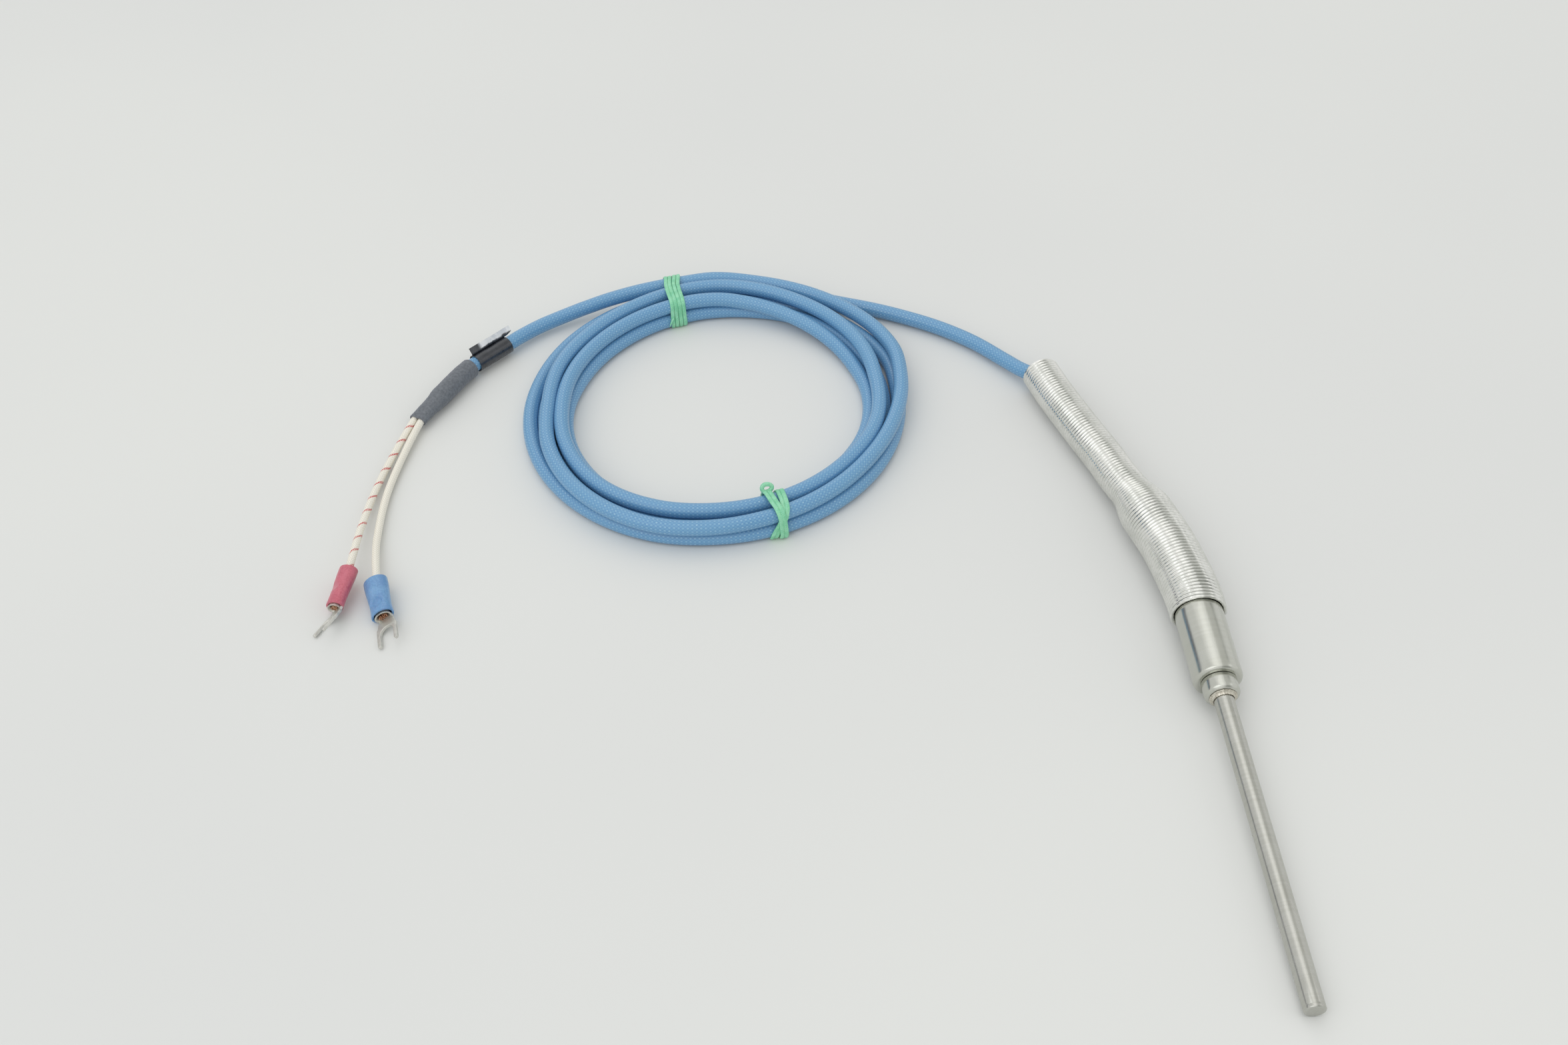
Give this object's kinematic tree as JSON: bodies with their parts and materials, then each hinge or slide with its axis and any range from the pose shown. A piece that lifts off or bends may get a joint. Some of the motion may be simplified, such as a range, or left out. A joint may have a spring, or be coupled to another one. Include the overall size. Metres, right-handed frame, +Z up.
{
  "type": "thermocouple",
  "caption": "Straight sheathed thermocouple probe with a coil-spring strain relief, a tied coil of blue extension cable and insulated fork terminals.",
  "frame": {"origin": "on the surface that the thermocouple lies on, under the middle of the probe's and strain relief's own bounding box", "axes": "+Y from the probe's tip towards its cable end, +X to the right of the probe seen from above with its tip towards the viewer, away from the coiled cable, +Z up from the surface"},
  "size_m": [0.2363, 0.262, 0.0153],
  "materials": {
    "sheath_steel": "polished stainless steel with faint lengthwise drawing marks",
    "sleeve_steel": "bright turned stainless steel",
    "weld_bead": "small rippled weld, slightly heat tinted",
    "thermo_alloy": "dull nickel or iron alloy wire",
    "ceramic": "matt off-white insulator",
    "cement": "rough pale potting cement",
    "splice_metal": "tinned crimp sleeve",
    "glass_sleeving": "woven glass sleeving",
    "extension_alloy": "drawn alloy wire",
    "bush_rubber": "matt black rubber",
    "spring_steel": "bright drawn stainless spring wire",
    "cable_jacket": "blue braid under a thin clear jacket",
    "green_tie": "flat light green elastic strands",
    "black_tape": "glossy black insulating tape",
    "grey_shrink": "matt slate grey shrink tube",
    "lead_braid_traced": "cream glass braid with a fine red tracer",
    "lead_braid": "cream glass braid",
    "red_insulator": "satin translucent red vinyl",
    "blue_insulator": "satin translucent blue vinyl",
    "tinned_terminal": "dull tin plate on copper",
    "bare_copper": "bare stranded copper-coloured wire ends"
  },
  "bodies": {
    "cable_side": {"cable_head": "cable_jacket", "cable_coil": "cable_jacket", "cable_tail": "cable_jacket", "tie_back": "green_tie", "tie_front": "green_tie", "tape_wrap": "black_tape", "heat_shrink": "grey_shrink", "lead_positive": "lead_braid_traced", "lead_negative": "lead_braid", "terminal_red_socket": "red_insulator", "terminal_red_fork": "tinned_terminal", "conductor_end_red": "bare_copper", "terminal_blue_socket": "blue_insulator", "terminal_blue_fork": "tinned_terminal", "conductor_end_blue": "bare_copper"},
    "strain_relief": {"strain_relief_spring": "spring_steel", "cable_in_spring": "cable_jacket"},
    "probe": {"sheath_tube": "sheath_steel", "tip_cap": "sheath_steel", "hot_junction": "thermo_alloy", "thermo_wire_positive": "thermo_alloy", "thermo_wire_negative": "thermo_alloy", "ceramic_bead_1": "ceramic", "ceramic_bead_2": "ceramic", "ceramic_bead_3": "ceramic", "ceramic_bead_4": "ceramic", "ceramic_bead_5": "ceramic", "ceramic_bead_6": "ceramic", "ceramic_bead_7": "ceramic", "ceramic_bead_8": "ceramic", "neck_collar": "sleeve_steel", "weld_ring": "weld_bead", "transition_sleeve": "sleeve_steel", "cement_seal": "cement", "splice_crimp_positive": "splice_metal", "splice_crimp_negative": "splice_metal", "splice_cover_positive": "glass_sleeving", "splice_cover_negative": "glass_sleeving", "extension_core_positive": "extension_alloy", "extension_core_negative": "extension_alloy", "cable_bush": "bush_rubber"}
  },
  "joints": [
    {"name": "spring_bend_side", "type": "hinge", "parent": "cable_side", "child": "strain_relief", "pos_m": [-0.006, 0.078, 0.0057], "axis": [0, 0, 1], "range_deg": [-40, 40], "stiffness_Nm_per_rad": 0.05, "deforming": ["strain_relief_spring", "cable_in_spring"]},
    {"name": "spring_bend_lift", "type": "hinge", "parent": "strain_relief", "child": "probe", "pos_m": [0.0075, 0.03, 0.0075], "axis": [-1, 0, 0], "range_deg": [0, 40], "stiffness_Nm_per_rad": 0.05, "deforming": ["strain_relief_spring", "cable_in_spring"]}
  ]
}
